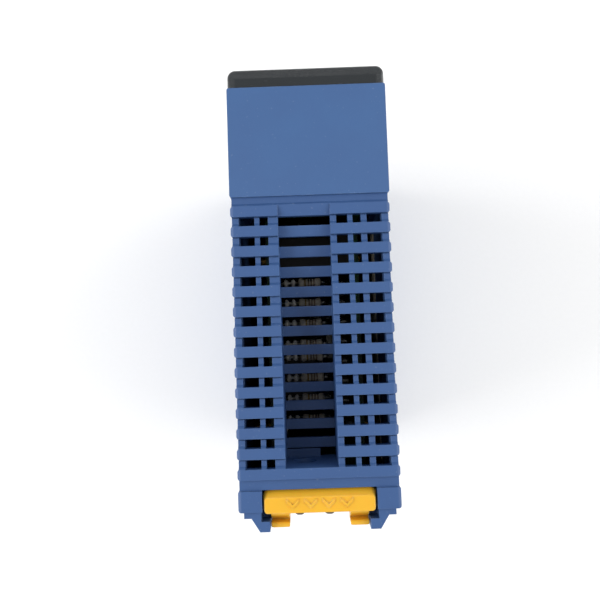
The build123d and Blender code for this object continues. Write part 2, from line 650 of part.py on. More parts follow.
with BuildPart() as power_converter:
    add(box((-1, 12, 38), (IO_BOARD_FACE, 24, 62)))
    chamfer(power_converter.faces().sort_by(Axis.X)[0].edges(), 0.5)
power_converter.part.label = "power_converter"
export_step(power_converter.part, "parts/power_converter.step")

with BuildPart() as bus_interface_chip:
    add(box((LOGIC_BOARD_FACE, 11, 22), (LOGIC_BOARD_FACE + 1.6, 24, 35)))
    chamfer(bus_interface_chip.faces().sort_by(Axis.X)[-1].edges(), 0.3)
bus_interface_chip.part.label = "bus_interface_chip"
export_step(bus_interface_chip.part, "parts/bus_interface_chip.step")

with BuildPart() as register_chips:
    add([box((LOGIC_BOARD_FACE, y, 22), (LOGIC_BOARD_FACE + 1.5, y + 6, 33)) for y in (-8, 1)])
register_chips.part.label = "register_chips"
export_step(register_chips.part, "parts/register_chips.step")

with BuildPart() as chip_capacitors:
    with Locations(*[(LOGIC_BOARD_FACE + 0.4, -8.4 + 3.6 * index, 38.5) for index in range(10)]):
        Box(0.8, 1.2, 2)
chip_capacitors.part.label = "chip_capacitors"
export_step(chip_capacitors.part, "parts/chip_capacitors.step")

with BuildPart() as clock_crystal:
    add(box((LOGIC_BOARD_FACE, 4, 10), (LOGIC_BOARD_FACE + 3.5, 15, 14.5)))
    fillet(clock_crystal.edges().filter_by(Axis.X), 1.8)
clock_crystal.part.label = "clock_crystal"
export_step(clock_crystal.part, "parts/clock_crystal.step")

# ---------------------------------------------------------------- bus connector
with BuildPart() as bus_board:
    low = (LOGIC_BOARD_FACE, BUS_BOARD_FRONT, 30)
    add(box(low, (IO_BOARD_FACE, BUS_BOARD_REAR, BOARD_TOP)))
bus_board.part.label = "bus_board"
export_step(bus_board.part, "parts/bus_board.step")

# Grey shroud: a block in the rear wall with two long walls behind it.
with BuildPart() as bus_connector:
    low = (CONNECTOR_LEFT, BUS_BOARD_REAR, CONNECTOR_BOTTOM)
    add(box(low, (CONNECTOR_RIGHT, REAR_FACE, CONNECTOR_BODY_TOP)))
    for left, right in CONNECTOR_WALLS:
        add(box((left, 36, CONNECTOR_BOTTOM), (right, CONNECTOR_REAR, CONNECTOR_TOP)))
    fillet(bus_connector.edges().filter_by(Axis.Z).group_by(Axis.Y)[-1], 0.8)
bus_connector.part.label = "bus_connector"
export_step(bus_connector.part, "parts/bus_connector.step")

contact_rows = [CONNECTOR_WALLS[0][1] + 0.25, CONNECTOR_WALLS[1][0] - 0.25]
contact_heights = [CONNECTOR_BOTTOM + 2.5 + 2.0 * index for index in range(23)]
contact_length = CONNECTOR_REAR - 1 - REAR_FACE
with BuildPart() as bus_contacts:
    middle_y = REAR_FACE + contact_length / 2
    with Locations(*[(x, middle_y, z) for x in contact_rows for z in contact_heights]):
        Box(0.5, contact_length, 0.8)
bus_contacts.part.label = "bus_contacts"
export_step(bus_contacts.part, "parts/bus_contacts.step")

# ---------------------------------------------------------------- release lever
# Yellow pad with a leg and barb behind each end and a stem below it.
lever_under = LEVER_TOP - LEVER_THICKNESS
pad_front = BLOCK_FRONT + 0.1
pad_rear = REAR_FACE + 0.5
pad_middle = (pad_front + pad_rear) / 2
pad_length = pad_rear - pad_front
leg = [
    (REAR_FACE + 0.2, 99.0),
    (39.0, 98.4),
    (40.1, 96.2),
    (40.3, 98.1),
    (40.6, 98.35),
    (41.1, 98.25),
    (CONNECTOR_REAR, 97.9),
    (CONNECTOR_REAR, 95.5),
    (40.4, 94.2),
    (39.2, 94.2),
    (REAR_FACE + 0.2, lever_under),
]
with BuildPart() as release_lever:
    with BuildSketch(Plane.XY.offset(lever_under)):
        with Locations((0, pad_middle)):
            RectangleRounded(LEVER_WIDTH, pad_length, 0.9)
    extrude(amount=LEVER_THICKNESS - PAD_BEVEL_RISE)
    with BuildSketch(Plane.XY.offset(LEVER_TOP - PAD_BEVEL_RISE)):
        with Locations((0, pad_middle)):
            RectangleRounded(LEVER_WIDTH, pad_length, 0.9)
    with BuildSketch(Plane.XY.offset(LEVER_TOP)):
        with Locations((0, pad_middle + PAD_BEVEL / 2 - 0.1)):
            RectangleRounded(LEVER_WIDTH - 0.5, pad_length - PAD_BEVEL - 0.2, 0.6)
    loft()
    for side in (-1, 1):
        left = min(side * STEM_INNER, side * STEM_OUTER)
        right = max(side * STEM_INNER, side * STEM_OUTER)
        with BuildSketch(Plane.YZ.offset(left)):
            Polygon(*leg, align=None)
        extrude(amount=right - left)
        add(box((left, STEM_FRONT, STEM_BOTTOM), (right, STEM_REAR, lever_under)))
    fillet(release_lever.edges().filter_by(Axis.Z).group_by(Axis.Y)[-1], LIP_RADIUS)
    # Four raised chevrons mark where the pad is pressed.
    with BuildSketch(Plane.XY.offset(LEVER_TOP)):
        with Locations(*[(3.2 * (index - 1.5), 36.75) for index in range(4)]):
            Polygon(*CHEVRON, align=None)
    extrude(amount=0.2)
release_lever.part.label = "release_lever"
export_step(release_lever.part, "parts/release_lever.step")

# Compression spring under each stem.
spring_rise = STEM_BOTTOM - POCKET_BOTTOM - 2 * WIRE_RADIUS - 0.04
stem_middle_x = (STEM_INNER + STEM_OUTER) / 2
stem_middle_y = (STEM_FRONT + STEM_REAR) / 2
with BuildPart() as lever_springs:
    for side in (-1, 1):
        base = (side * stem_middle_x, stem_middle_y, POCKET_BOTTOM + WIRE_RADIUS + 0.02)
        with BuildLine() as coil:
            Helix(pitch=spring_rise / SPRING_TURNS, height=spring_rise, radius=COIL_RADIUS, center=base)
        with BuildSketch(Plane(origin=coil.line @ 0, z_dir=coil.line % 0)):
            Circle(WIRE_RADIUS)
        sweep(path=coil.line, is_frenet=True)
lever_springs.part.label = "lever_springs"
export_step(lever_springs.part, "parts/lever_springs.step")

# ---------------------------------------------------------------- label
with BuildPart() as rating_label:
    add(box((-HALF + 0.05, -7.5, 26.5), (-HALF + 0.2, 29.5, 73.5)))
rating_label.part.label = "rating_label"
export_step(rating_label.part, "parts/rating_label.step")
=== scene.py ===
"""Looks of a rack-mounted PLC input/output module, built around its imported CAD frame.

Every length is in metres in the CAD frame: -Y is the front with the tinted covers,
+Y the rear with the yellow release lever, +Z is up. Sizes given in millimetres are
turned to metres by mm(). Detail pieces take their places from the CAD nodes.
"""
import json
import logging
import math
import random
from dataclasses import dataclass, field
from enum import Enum
from typing import Any, Callable

import bmesh
import bpy
from mathutils import Matrix, Vector


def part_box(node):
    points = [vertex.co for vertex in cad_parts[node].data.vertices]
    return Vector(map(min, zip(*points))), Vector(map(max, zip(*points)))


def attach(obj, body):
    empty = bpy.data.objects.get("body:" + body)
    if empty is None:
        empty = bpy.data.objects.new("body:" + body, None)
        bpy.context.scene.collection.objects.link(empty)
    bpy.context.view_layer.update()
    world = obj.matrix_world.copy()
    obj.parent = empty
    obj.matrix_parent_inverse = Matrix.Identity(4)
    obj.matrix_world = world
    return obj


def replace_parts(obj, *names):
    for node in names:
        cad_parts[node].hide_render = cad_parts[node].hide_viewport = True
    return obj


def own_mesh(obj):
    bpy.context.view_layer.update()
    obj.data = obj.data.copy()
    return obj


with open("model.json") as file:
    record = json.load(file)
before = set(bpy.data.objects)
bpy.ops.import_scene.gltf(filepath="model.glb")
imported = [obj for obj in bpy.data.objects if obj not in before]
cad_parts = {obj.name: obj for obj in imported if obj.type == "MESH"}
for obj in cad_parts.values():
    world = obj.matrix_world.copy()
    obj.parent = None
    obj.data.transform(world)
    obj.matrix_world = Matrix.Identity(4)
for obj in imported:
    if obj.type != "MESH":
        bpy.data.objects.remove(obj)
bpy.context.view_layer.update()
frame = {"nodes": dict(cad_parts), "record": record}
LOG = logging.getLogger("plc_module")

Colour = tuple[float, float, float, float]
Span = tuple[Vector, Vector]


# ------------------------------------------------------------------ measures and colours
def mm(value: float) -> float:
    """Turn millimetres to metres.

    Args:
        value: a length in millimetres.

    Returns:
        The same length in metres.
    """
    return value / 1000.0


def linear(hex_colour: str) -> Colour:
    """Turn an sRGB hex colour to the linear values that a shader takes.

    Args:
        hex_colour: six hex digits.

    Returns:
        Linear red, green and blue, and an alpha of 1.
    """
    channels = []
    for start in (0, 2, 4):
        value = int(hex_colour[start:start + 2], 16) / 255.0
        channels.append(value / 12.92 if value <= 0.04045 else ((value + 0.055) / 1.055) ** 2.4)
    return (channels[0], channels[1], channels[2], 1.0)


def islands(node: str) -> list[Span]:
    """Find the separate solids in a CAD node.

    Args:
        node: the CAD node's name.

    Returns:
        The lowest and highest corner of each solid, sorted by place.
    """
    mesh = bmesh.new()
    mesh.from_mesh(frame["nodes"][node].data)
    bmesh.ops.remove_doubles(mesh, verts=mesh.verts, dist=mm(0.001))
    found = []
    waiting = set(mesh.verts)
    while waiting:
        reached = [waiting.pop()]
        for vertex in reached:
            for edge in vertex.link_edges:
                other = edge.other_vert(vertex)
                if other in waiting:
                    waiting.remove(other)
                    reached.append(other)
        low = Vector([min(vertex.co[axis] for vertex in reached) for axis in range(3)])
        high = Vector([max(vertex.co[axis] for vertex in reached) for axis in range(3)])
        found.append((low, high))
    mesh.free()
    return sorted(found, key=lambda span: tuple(round(value, 5) for value in span[0]))


# The far wire of each resistor turns down this far before it enters its board.
WIRE_DROP = mm(2.8)


# ------------------------------------------------------------------ geometry
class Axis(Enum):
    """A frame axis, with the two axes that follow it."""

    X = (0, 1, 2)
    Y = (1, 2, 0)
    Z = (2, 0, 1)

    def point(self, along: float, first: float, second: float) -> Vector:
        """Make a point from its places along this axis and the two after it.

        Args:
            along: the place along this axis.
            first: the place along the next axis.
            second: the place along the one after that.

        Returns:
            The point in frame order.
        """
        point = Vector((0.0, 0.0, 0.0))
        for axis, value in zip(self.value, (along, first, second)):
            point[axis] = value
        return point


class Shape:
    """A detail piece while it is built, in metres in the CAD frame."""

    def __init__(self) -> None:
        """Start with an empty mesh."""
        self.mesh = bmesh.new()

    def turned(self, centre: Vector, axis: Axis, profile: list[tuple[float, float]], steps: int = 28) -> None:
        """Turn a profile about an axis; a radius of zero closes that end.

        Args:
            centre: the point where the profile's place is 0.
            axis: the axis it turns about.
            profile: places along the axis and the radius at each.
            steps: flat sides around the axis.
        """
        rings = []
        for place, radius in profile:
            turns = range(steps) if radius > 0 else range(1)
            ring = []
            for turn in turns:
                angle = 2 * math.pi * turn / steps
                offset = axis.point(place, radius * math.cos(angle), radius * math.sin(angle))
                ring.append(self.mesh.verts.new(centre + offset))
            rings.append(ring)
        for near, far in zip(rings, rings[1:]):
            for turn in range(steps):
                corners = []
                for ring, place in ((near, turn), (near, turn + 1), (far, turn + 1), (far, turn)):
                    vertex = ring[place % len(ring)]
                    if vertex not in corners:
                        corners.append(vertex)
                self.mesh.faces.new(corners).smooth = True

    def block(self, low: Vector, high: Vector, radius: float) -> None:
        """Add a block with rounded edges.

        Args:
            low: the lowest corner.
            high: the highest corner.
            radius: the edge radius.
        """
        place = Matrix.Translation((low + high) / 2) @ Matrix.Diagonal((*(high - low), 1.0))
        made = bmesh.ops.create_cube(self.mesh, size=1.0, matrix=place)
        edges = list({edge for vertex in made["verts"] for edge in vertex.link_edges})
        bmesh.ops.bevel(self.mesh, geom=edges, offset=radius, segments=2, affect="EDGES", profile=0.5)

    def ribbon(self, path: list[Vector], width: Vector, thickness: float) -> None:
        """Bend a flat strip, such as a chip's lead, along a path.

        Args:
            path: the points of the strip's middle line.
            width: the vector across the strip, as long as the strip is wide.
            thickness: the strip's thickness.
        """
        rings = []
        for index, point in enumerate(path):
            before = path[max(index - 1, 0)]
            after = path[min(index + 1, len(path) - 1)]
            normal = (after - before).cross(width).normalized() * thickness / 2
            corners = (width / 2 + normal, width / 2 - normal, -width / 2 - normal, -width / 2 + normal)
            rings.append([self.mesh.verts.new(point + corner) for corner in corners])
        for near, far in zip(rings, rings[1:]):
            for side in range(4):
                following = (side + 1) % 4
                self.mesh.faces.new((near[side], near[following], far[following], far[side]))
        self.mesh.faces.new(rings[0])
        self.mesh.faces.new(list(reversed(rings[-1])))

    def wire(self, path: list[Vector], radius: float, steps: int = 12, beside: Axis = Axis.Y) -> None:
        """Lead a round wire through some points, with mitred bends and closed ends.

        Args:
            path: the points of its middle line.
            radius: its radius.
            steps: flat sides around it.
            beside: an axis that the wire never runs along.
        """
        rings = []
        for index, point in enumerate(path):
            before = (point - path[max(index - 1, 0)]).normalized()
            after = (path[min(index + 1, len(path) - 1)] - point).normalized()
            heading = (before + after).normalized()
            across = heading.cross(beside.point(1.0, 0.0, 0.0)).normalized()
            other = heading.cross(across)
            ring = []
            for turn in range(steps):
                angle = 2 * math.pi * turn / steps
                spoke = across * math.cos(angle) + other * math.sin(angle)
                ring.append(self.mesh.verts.new(point + spoke * radius))
            rings.append(ring)
        for near, far in zip(rings, rings[1:]):
            for turn in range(steps):
                following = (turn + 1) % steps
                self.mesh.faces.new((near[turn], near[following], far[following], far[turn])).smooth = True
        self.mesh.faces.new(list(reversed(rings[0])))
        self.mesh.faces.new(rings[-1])

    def finish(self, name: str, body: str, slot: str, material: bpy.types.Material) -> bpy.types.Object:
        """Turn the mesh to an object that rides on a CAD body.

        Args:
            name: the piece's name.
            body: the CAD body it moves with.
            slot: the record's material slot it belongs to; not used.
            material: what it is made of.

        Returns:
            The linked object.
        """
        data = bpy.data.meshes.new(name)
        bmesh.ops.recalc_face_normals(self.mesh, faces=self.mesh.faces)
        self.mesh.to_mesh(data)
        self.mesh.free()
        data.materials.append(material)
        piece = bpy.data.objects.new(name, data)
        bpy.context.scene.collection.objects.link(piece)
        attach(piece, body)
        LOG.info("piece %s is on the %s", name, body)
        return piece


# ------------------------------------------------------------------ finishes
class Graph:
    """The node graph of one material."""

    def __init__(self, name: str, ior: float, roughness: float, metallic: float) -> None:
        """Start a material with its main shader.

        Args:
            name: the material's name.
            ior: the index of refraction.
            roughness: the roughness where nothing is linked.
            metallic: 1 for a metal, 0 for anything else.
        """
        self.material = bpy.data.materials.new(name)
        self.material.use_nodes = True
        self.tree = self.material.node_tree
        self.shader = self.tree.nodes["Principled BSDF"]
        self.shader.inputs["IOR"].default_value = ior
        self.shader.inputs["Roughness"].default_value = roughness
        self.shader.inputs["Metallic"].default_value = metallic
        self.place = self.add("ShaderNodeTexCoord", {}).outputs["Object"]

    def add(self, kind: str, inputs: dict[Any, Any], **settings: Any) -> Any:
        """Add one node, set its options, and set or link its inputs.

        Args:
            kind: the node's type name.
            inputs: input name or index, to a value or to the socket that feeds it.
            settings: the node's own options.

        Returns:
            The new node.
        """
        node = self.tree.nodes.new(kind)
        for option, value in settings.items():
            setattr(node, option, value)
        for key, value in inputs.items():
            if isinstance(value, bpy.types.NodeSocket):
                self.tree.links.new(value, node.inputs[key])
            else:
                node.inputs[key].default_value = value
        return node

    def noise(self, size: float, detail: float = 2.0, stretch: tuple[float, float, float] = (1, 1, 1)) -> Any:
        """Make noise whose cells have a real size.

        Args:
            size: the size of one cell, in millimetres.
            detail: how many finer layers it has.
            stretch: how much finer it is along X, Y and Z.

        Returns:
            The socket with its value.
        """
        place = self.add("ShaderNodeMapping", {"Vector": self.place, "Scale": stretch}).outputs["Vector"]
        inputs = {"Vector": place, "Scale": 1.0 / mm(size), "Detail": detail}
        return self.add("ShaderNodeTexNoise", inputs).outputs["Fac"]

    def remap(self, value: Any, low: float, high: float, first: float, last: float) -> Any:
        """Stretch a range of values to another range, and cut off what lies outside.

        Args:
            value: the socket to read.
            low: the value that becomes first.
            high: the value that becomes last.
            first: the start of the new range.
            last: the end of the new range.

        Returns:
            The socket with the new value.
        """
        inputs = {"Value": value, "From Min": low, "From Max": high, "To Min": first, "To Max": last}
        return self.add("ShaderNodeMapRange", inputs).outputs["Result"]

    def math(self, operation: str, first: Any, second: Any) -> Any:
        """Work out one sum.

        Args:
            operation: the node's operation, such as MULTIPLY.
            first: a number or socket.
            second: a number or socket.

        Returns:
            The socket with the result.
        """
        return self.add("ShaderNodeMath", {0: first, 1: second}, operation=operation).outputs["Value"]

    def mix(self, amount: Any, first: Any, second: Any) -> Any:
        """Mix two colours.

        Args:
            amount: the share of the second colour.
            first: a colour, or the socket that gives one.
            second: a colour, or the socket that gives one.

        Returns:
            The socket with the mixed colour.
        """
        return self.add("ShaderNodeMix", {"Factor": amount, 6: first, 7: second}, data_type="RGBA").outputs[2]

    def edges(self, reach: float) -> Any:
        """Find the edges, where hands and tools have rubbed a piece.

        Args:
            reach: how far from an edge the mark reaches, in millimetres.

        Returns:
            The socket with 1 on an edge and 0 on a flat.
        """
        rounded = self.add("ShaderNodeBevel", {"Radius": mm(reach)}, samples=4).outputs["Normal"]
        sharp = self.add("ShaderNodeNewGeometry", {}).outputs["Normal"]
        likeness = self.add("ShaderNodeVectorMath", {0: rounded, 1: sharp}, operation="DOT_PRODUCT")
        return self.remap(likeness.outputs["Value"], 0.99, 0.8, 0.0, 1.0)

    def surface(
        self, colour: Any, roughness: Any, height: Any, depth: float, soften: float
    ) -> bpy.types.Material:
        """Link colour, gloss and relief to the main shader.

        Args:
            colour: the socket with the colour.
            roughness: the socket with the roughness.
            height: the socket with the relief, from 0 to 1.
            depth: the relief's depth, in millimetres.
            soften: how far edges are rounded in the shading, in millimetres.

        Returns:
            The finished material.
        """
        self.tree.links.new(colour, self.shader.inputs["Base Color"])
        self.tree.links.new(roughness, self.shader.inputs["Roughness"])
        inputs = {"Height": height, "Distance": mm(depth), "Strength": 1.0}
        if soften > 0:
            inputs["Normal"] = self.add("ShaderNodeBevel", {"Radius": mm(soften)}, samples=4).outputs["Normal"]
        bump = self.add("ShaderNodeBump", inputs).outputs["Normal"]
        self.tree.links.new(bump, self.shader.inputs["Normal"])
        return self.material


@dataclass(frozen=True)
class MouldedPlastic:
    """Opaque thermoplastic from a spark-eroded mould: matt grain, flow clouds, rubbed edges."""

    name: str
    colour: str
    shade: str
    roughness: float = 0.5
    ior: float = 1.53
    rub: str = "c8ccd2"
    rub_share: float = 0.0
    dust: float = 0.0
    grain: float = 0.3
    relief: float = 0.012
    soften: float = 0.12
    glow: float = 0.0
    cloud_size: float = 9.0
    fleck_size: float = 0.5
    patch_size: float = 1.6
    light_depth: float = 0.8

    def build(self) -> bpy.types.Material:
        """Make the material.

        Returns:
            The finished material.
        """
        graph = Graph(self.name, self.ior, self.roughness, 0.0)
        grain = graph.noise(self.grain, 3.0)
        cloud = graph.remap(graph.noise(self.cloud_size, 4.0), 0.2, 0.8, 0.0, 1.0)
        colour = graph.mix(cloud, linear(self.colour), linear(self.shade))
        if self.dust > 0:
            fleck = graph.remap(graph.noise(self.fleck_size, 1.0), 0.70, 0.76, 0.0, self.dust)
            colour = graph.mix(fleck, colour, linear("a9b2be"))
        if self.rub_share > 0:
            patches = graph.remap(graph.noise(self.patch_size, 3.0), 0.4, 0.65, 0.0, self.rub_share)
            rubbed = graph.math("MULTIPLY", graph.edges(self.soften * 1.5), patches)
            colour = graph.mix(rubbed, colour, linear(self.rub))
        if self.glow > 0:
            graph.shader.inputs["Subsurface Weight"].default_value = self.glow
            graph.shader.inputs["Subsurface Scale"].default_value = mm(self.light_depth)
        gloss = graph.remap(cloud, 0.0, 1.0, self.roughness - 0.04, self.roughness + 0.06)
        return graph.surface(colour, gloss, grain, self.relief, self.soften)


@dataclass(frozen=True)
class ClearPlastic:
    """Transparent moulding with a polished skin: tint, gloss, and hair-fine wipe scratches.

    The finest scratches are drawn 0.3 mm wide, as finer ones wouldn't show.
    """

    name: str
    colour: str
    shade: str
    cover: float = 0.5
    depth_cover: float = 0.97
    roughness: float = 0.08
    ior: float = 1.585

    def build(self) -> bpy.types.Material:
        """Make the material.

        Returns:
            The finished material.
        """
        graph = Graph(self.name, self.ior, self.roughness, 0.0)
        # Seen from above, the sight line runs down the whole wall, so it is almost opaque.
        normal = graph.add("ShaderNodeNewGeometry", {}).outputs["Normal"]
        upward = graph.add("ShaderNodeSeparateXYZ", {"Vector": normal}).outputs[2]
        tilt = graph.math("ABSOLUTE", upward, 0.0)
        cover = graph.remap(tilt, 0.35, 0.85, self.cover, self.depth_cover)
        graph.tree.links.new(cover, graph.shader.inputs["Alpha"])
        colour = graph.mix(graph.noise(8.0, 2.0), linear(self.colour), linear(self.shade))
        scratch = graph.noise(0.3, 2.0, (0.08, 1.0, 0.6))
        gloss = graph.remap(scratch, 0.55, 0.75, self.roughness, self.roughness + 0.2)
        return graph.surface(colour, gloss, scratch, 0.0015, 0.25)


@dataclass(frozen=True)
class Metal:
    """Plated, turned or drawn metal: fine tool lines and patches where the plating has dulled."""

    name: str
    colour: str
    shade: str
    roughness: float = 0.3
    line: float = 0.15
    stretch: tuple[float, float, float] = (1.0, 0.1, 1.0)
    soften: float = 0.08

    def build(self) -> bpy.types.Material:
        """Make the material; a metal keeps the default index of refraction.

        Returns:
            The finished material.
        """
        graph = Graph(self.name, 1.5, self.roughness, 1.0)
        patch = graph.remap(graph.noise(1.8, 4.0), 0.35, 0.7, 0.0, 1.0)
        colour = graph.mix(patch, linear(self.colour), linear(self.shade))
        lines = graph.noise(self.line, 2.0, self.stretch)
        gloss = graph.remap(lines, 0.3, 0.7, self.roughness - 0.06, self.roughness + 0.1)
        return graph.surface(colour, gloss, lines, 0.002, self.soften)


@dataclass(frozen=True)
class SolderMask:
    """Green solder mask over etched copper: tracks stand up under the lacquer as paler lines."""

    name: str
    colour: str
    shade: str
    track_colour: str
    track: float = 1.4
    roughness: float = 0.3

    def build(self) -> bpy.types.Material:
        """Make the material.

        Returns:
            The finished material.
        """
        graph = Graph(self.name, 1.52, self.roughness, 0.0)
        inputs = {"Vector": graph.place, "Scale": 1.0 / mm(self.track), "Randomness": 0.2}
        cells = graph.add("ShaderNodeTexVoronoi", inputs, feature="DISTANCE_TO_EDGE").outputs["Distance"]
        tracks = graph.remap(cells, 0.07, 0.11, 1.0, 0.0)
        weave = graph.noise(0.4, 2.0)
        colour = graph.mix(weave, linear(self.colour), linear(self.shade))
        colour = graph.mix(tracks, colour, linear(self.track_colour))
        gloss = graph.remap(weave, 0.3, 0.7, self.roughness, self.roughness + 0.12)
        return graph.surface(colour, gloss, tracks, 0.03, 0.05)


@dataclass(frozen=True)
class PrintedStock:
    """Coated paper or film: faint fibre, and ruled lines at a real pitch along one axis."""

    name: str
    colour: str
    shade: str
    ink: str
    axis: int = 2
    pitch: float = 7.0
    line: float = 0.25
    roughness: float = 0.45

    def build(self) -> bpy.types.Material:
        """Make the material.

        Returns:
            The finished material.
        """
        graph = Graph(self.name, 1.47, self.roughness, 0.0)
        fibre = graph.noise(0.5, 4.0)
        colour = graph.mix(fibre, linear(self.colour), linear(self.shade))
        along = graph.add("ShaderNodeSeparateXYZ", {"Vector": graph.place}).outputs[self.axis]
        phase = graph.math("PINGPONG", along, mm(self.pitch / 2))
        ruled = graph.remap(phase, mm(self.line / 2), mm(self.line * 0.6), 0.8, 0.0)
        colour = graph.mix(ruled, colour, linear(self.ink))
        gloss = graph.remap(fibre, 0.3, 0.7, self.roughness, self.roughness + 0.12)
        return graph.surface(colour, gloss, fibre, 0.004, 0.0)


@dataclass(frozen=True)
class BackdropPaper:
    """Matt white paper that fades out far from the module, so that no horizon shows."""

    name: str
    colour: str
    shade: str
    fade_start: float = 0.16
    fade_end: float = 0.50

    def build(self) -> bpy.types.Material:
        """Make the material.

        Returns:
            The finished material.
        """
        graph = Graph(self.name, 1.45, 0.9, 0.0)
        tooth = graph.noise(1.2, 4.0)
        colour = graph.mix(tooth, linear(self.colour), linear(self.shade))
        distance = graph.add("ShaderNodeVectorMath", {0: graph.place}, operation="LENGTH").outputs["Value"]
        shown = graph.remap(distance, self.fade_start, self.fade_end, 1.0, 0.0)
        graph.tree.links.new(shown, graph.shader.inputs["Alpha"])
        return graph.surface(colour, graph.remap(tooth, 0.3, 0.7, 0.86, 0.94), tooth, 0.02, 0.0)


@dataclass
class Stock:
    """Every material of the module, made once and kept by a short name."""

    made: dict[str, bpy.types.Material] = field(default_factory=dict)

    def build(self) -> None:
        """Make every finish."""
        finishes = {
            # Grained PBT scatters its highlight, so the case looks chalky and even.
            "blue_case": MouldedPlastic(
                "moulded_blue_pbt", "365a8a", "325484", 0.52, 1.55, "8aa3c8", 0.30, 0.10,
                relief=0.014, soften=0.16,
            ),
            # The louvred half is the same blue, painted a shade darker as painted shade for the light that
            # falls off towards the rear and between the ribs.
            "blue_painted_shade": MouldedPlastic(
                "moulded_blue_pbt_painted_shade", "2e5183", "2a4b7c", 0.54, 1.55, "7c9ac4", 0.30, 0.12,
                relief=0.014, soften=0.12,
            ),
            # Acetal lets a little light in, so the yellow stays warm in its own shadow.
            "yellow": MouldedPlastic(
                "moulded_yellow_acetal", "e2ac2c", "dba526", 0.36, 1.48, "ffe79a", 0.35, 0.0,
                relief=0.006, soften=0.3, glow=0.12,
            ),
            # Tinted polycarbonate darkens what is behind it and mirrors the lamps sharply.
            "smoke": ClearPlastic("moulded_smoke_polycarbonate", "24282b", "1e2225", 0.45),
            # Water-clear acrylic carries the lamp's light to the window.
            "clear": ClearPlastic("moulded_clear_acrylic", "dfe6e3", "d2dbd8", 0.35, 0.5, 0.1, 1.49),
            # Natural nylon is milky and soft-edged.
            "pale_plastic": MouldedPlastic("moulded_natural_nylon", "bcb6a4", "aaa390", 0.5),
            # The plug housing is tinted nylon browned by the soldering bath.
            "brown_nylon": MouldedPlastic("moulded_brown_nylon", "2f2922", "28231d", 0.55),
            # Filled epoxy and black PBT are charcoal with a fine tooth, never a true black.
            "black_plastic": MouldedPlastic("moulded_black_epoxy", "17181a", "1e1f21", 0.45, relief=0.005),
            # Glass-filled PBT has a cool grey skin with pale fibre ends.
            "grey_plastic": MouldedPlastic("moulded_grey_pbt", "655f58", "57524c", 0.42, dust=0.12),
            # Solder mask is glassy and deep green, paler where it rides over a track.
            "circuit_board": SolderMask("solder_masked_board", "0a3a22", "08301c", "1a5a36"),
            # Bright zinc is cool, with a cloudy passivation film.
            "steel": Metal("zinc_plated_steel", "c1c3c4", "a3a5a6", 0.3),
            # Spring wire is drawn through a die, so it is greyer and plain.
            "spring_steel": Metal("drawn_spring_wire", "a9abad", "8d8f92", 0.3),
            # Turned brass keeps fine rings from the lathe.
            "brass": Metal("turned_brass", "caa75e", "b18d47", 0.28, stretch=(1.0, 1.0, 0.1)),
            # Dipped tin is soft and rounded, without tool lines.
            "tinned": Metal("dipped_tin", "c9c8c2", "b3b2ab", 0.38, 0.8, (1.0, 1.0, 1.0), 0.0),
            # A drawn can is streaked along its length.
            "aluminium": Metal("drawn_aluminium_can", "c6c8ca", "b2b4b7", 0.26, stretch=(0.1, 1.0, 1.0)),
            # Card has a soft fibre and ruled lines; label film is smoother and cooler.
            "paper": PrintedStock("printed_name_card", "e6e4da", "dad7c9", "6b7078"),
            "film": PrintedStock("printed_label_film", "cfd2d4", "c6c9cb", "8d949c", 2, 94.0, 0.3, 0.35),
            # Label ink lies on the film as a thin matt skin.
            "ink": MouldedPlastic("screen_printed_ink", "2b2e33", "33373c", 0.6, relief=0.003, soften=0.0),
            "white_ink": MouldedPlastic(
                "screen_printed_white", "c9ccd0", "bfc2c6", 0.6, relief=0.003, soften=0.0
            ),
            # Flameproof lacquer over a ceramic rod gives a dull, slightly lumpy coat.
            "ceramic": MouldedPlastic(
                "lacquered_ceramic", "cfc6b6", "c2b9a8", 0.5, grain=0.25, relief=0.02, soften=0.0
            ),
            # Fired steatite beads are chalky white and keep the lead off the board.
            "bead": MouldedPlastic(
                "fired_steatite", "f0ede4", "e6e2d8", 0.55, grain=0.2, relief=0.01, soften=0.0
            ),
            # Colour bands are brushed on in the same lacquer, with a little more gloss.
            "band_brown": MouldedPlastic("lacquer_band_brown", "8d7660", "816c58", 0.45, soften=0.0),
            "band_gold": MouldedPlastic("lacquer_band_gold", "9a7a32", "8c6e2c", 0.4, soften=0.0),
            # Shrunk PVC is drawn tight, so it shines.
            "sleeve": MouldedPlastic("shrunk_pvc_sleeve", "22262e", "1b1f26", 0.3, relief=0.004, soften=0.0),
            # Background paper has a matt tooth and melts into the white room.
            "backdrop": BackdropPaper("white_background_paper", "f6f6f6", "f3f3f3"),
        }
        for key, finish in finishes.items():
            self.made[key] = finish.build()
            LOG.info("finish %s is %s", key, finish.name)

    def dress(self, node: str, finish: str) -> None:
        """Give a CAD node one finish in place of its plain one.

        Args:
            node: the CAD node's name.
            finish: the finish's short name.
        """
        data = frame["nodes"][node].data
        data.materials.clear()
        data.materials.append(self.made[finish])


# ------------------------------------------------------------------ sub-assemblies
@dataclass
class CadSkin:
    """Dresses each CAD node that keeps its own shape."""

    stock: Stock
    special: dict[str, str] = field(
        default_factory=lambda: {
            # The rear housing wears the darker copy of the blue, which is painted shade.
            "rear_housing": "blue_painted_shade",
            "board_link_socket": "brown_nylon",
            "display_connector": "brown_nylon",
            "rating_label": "film",
        }
    )

    def dress(self) -> None:
        """Give every node the finish of its own slot, or its special one."""
        for row in frame["record"]["subparts"]:
            finish = self.special.get(row["node"], row["material_slot"])
            self.stock.dress(row["node"], finish)
            LOG.info("node %s wears %s", row["node"], finish)


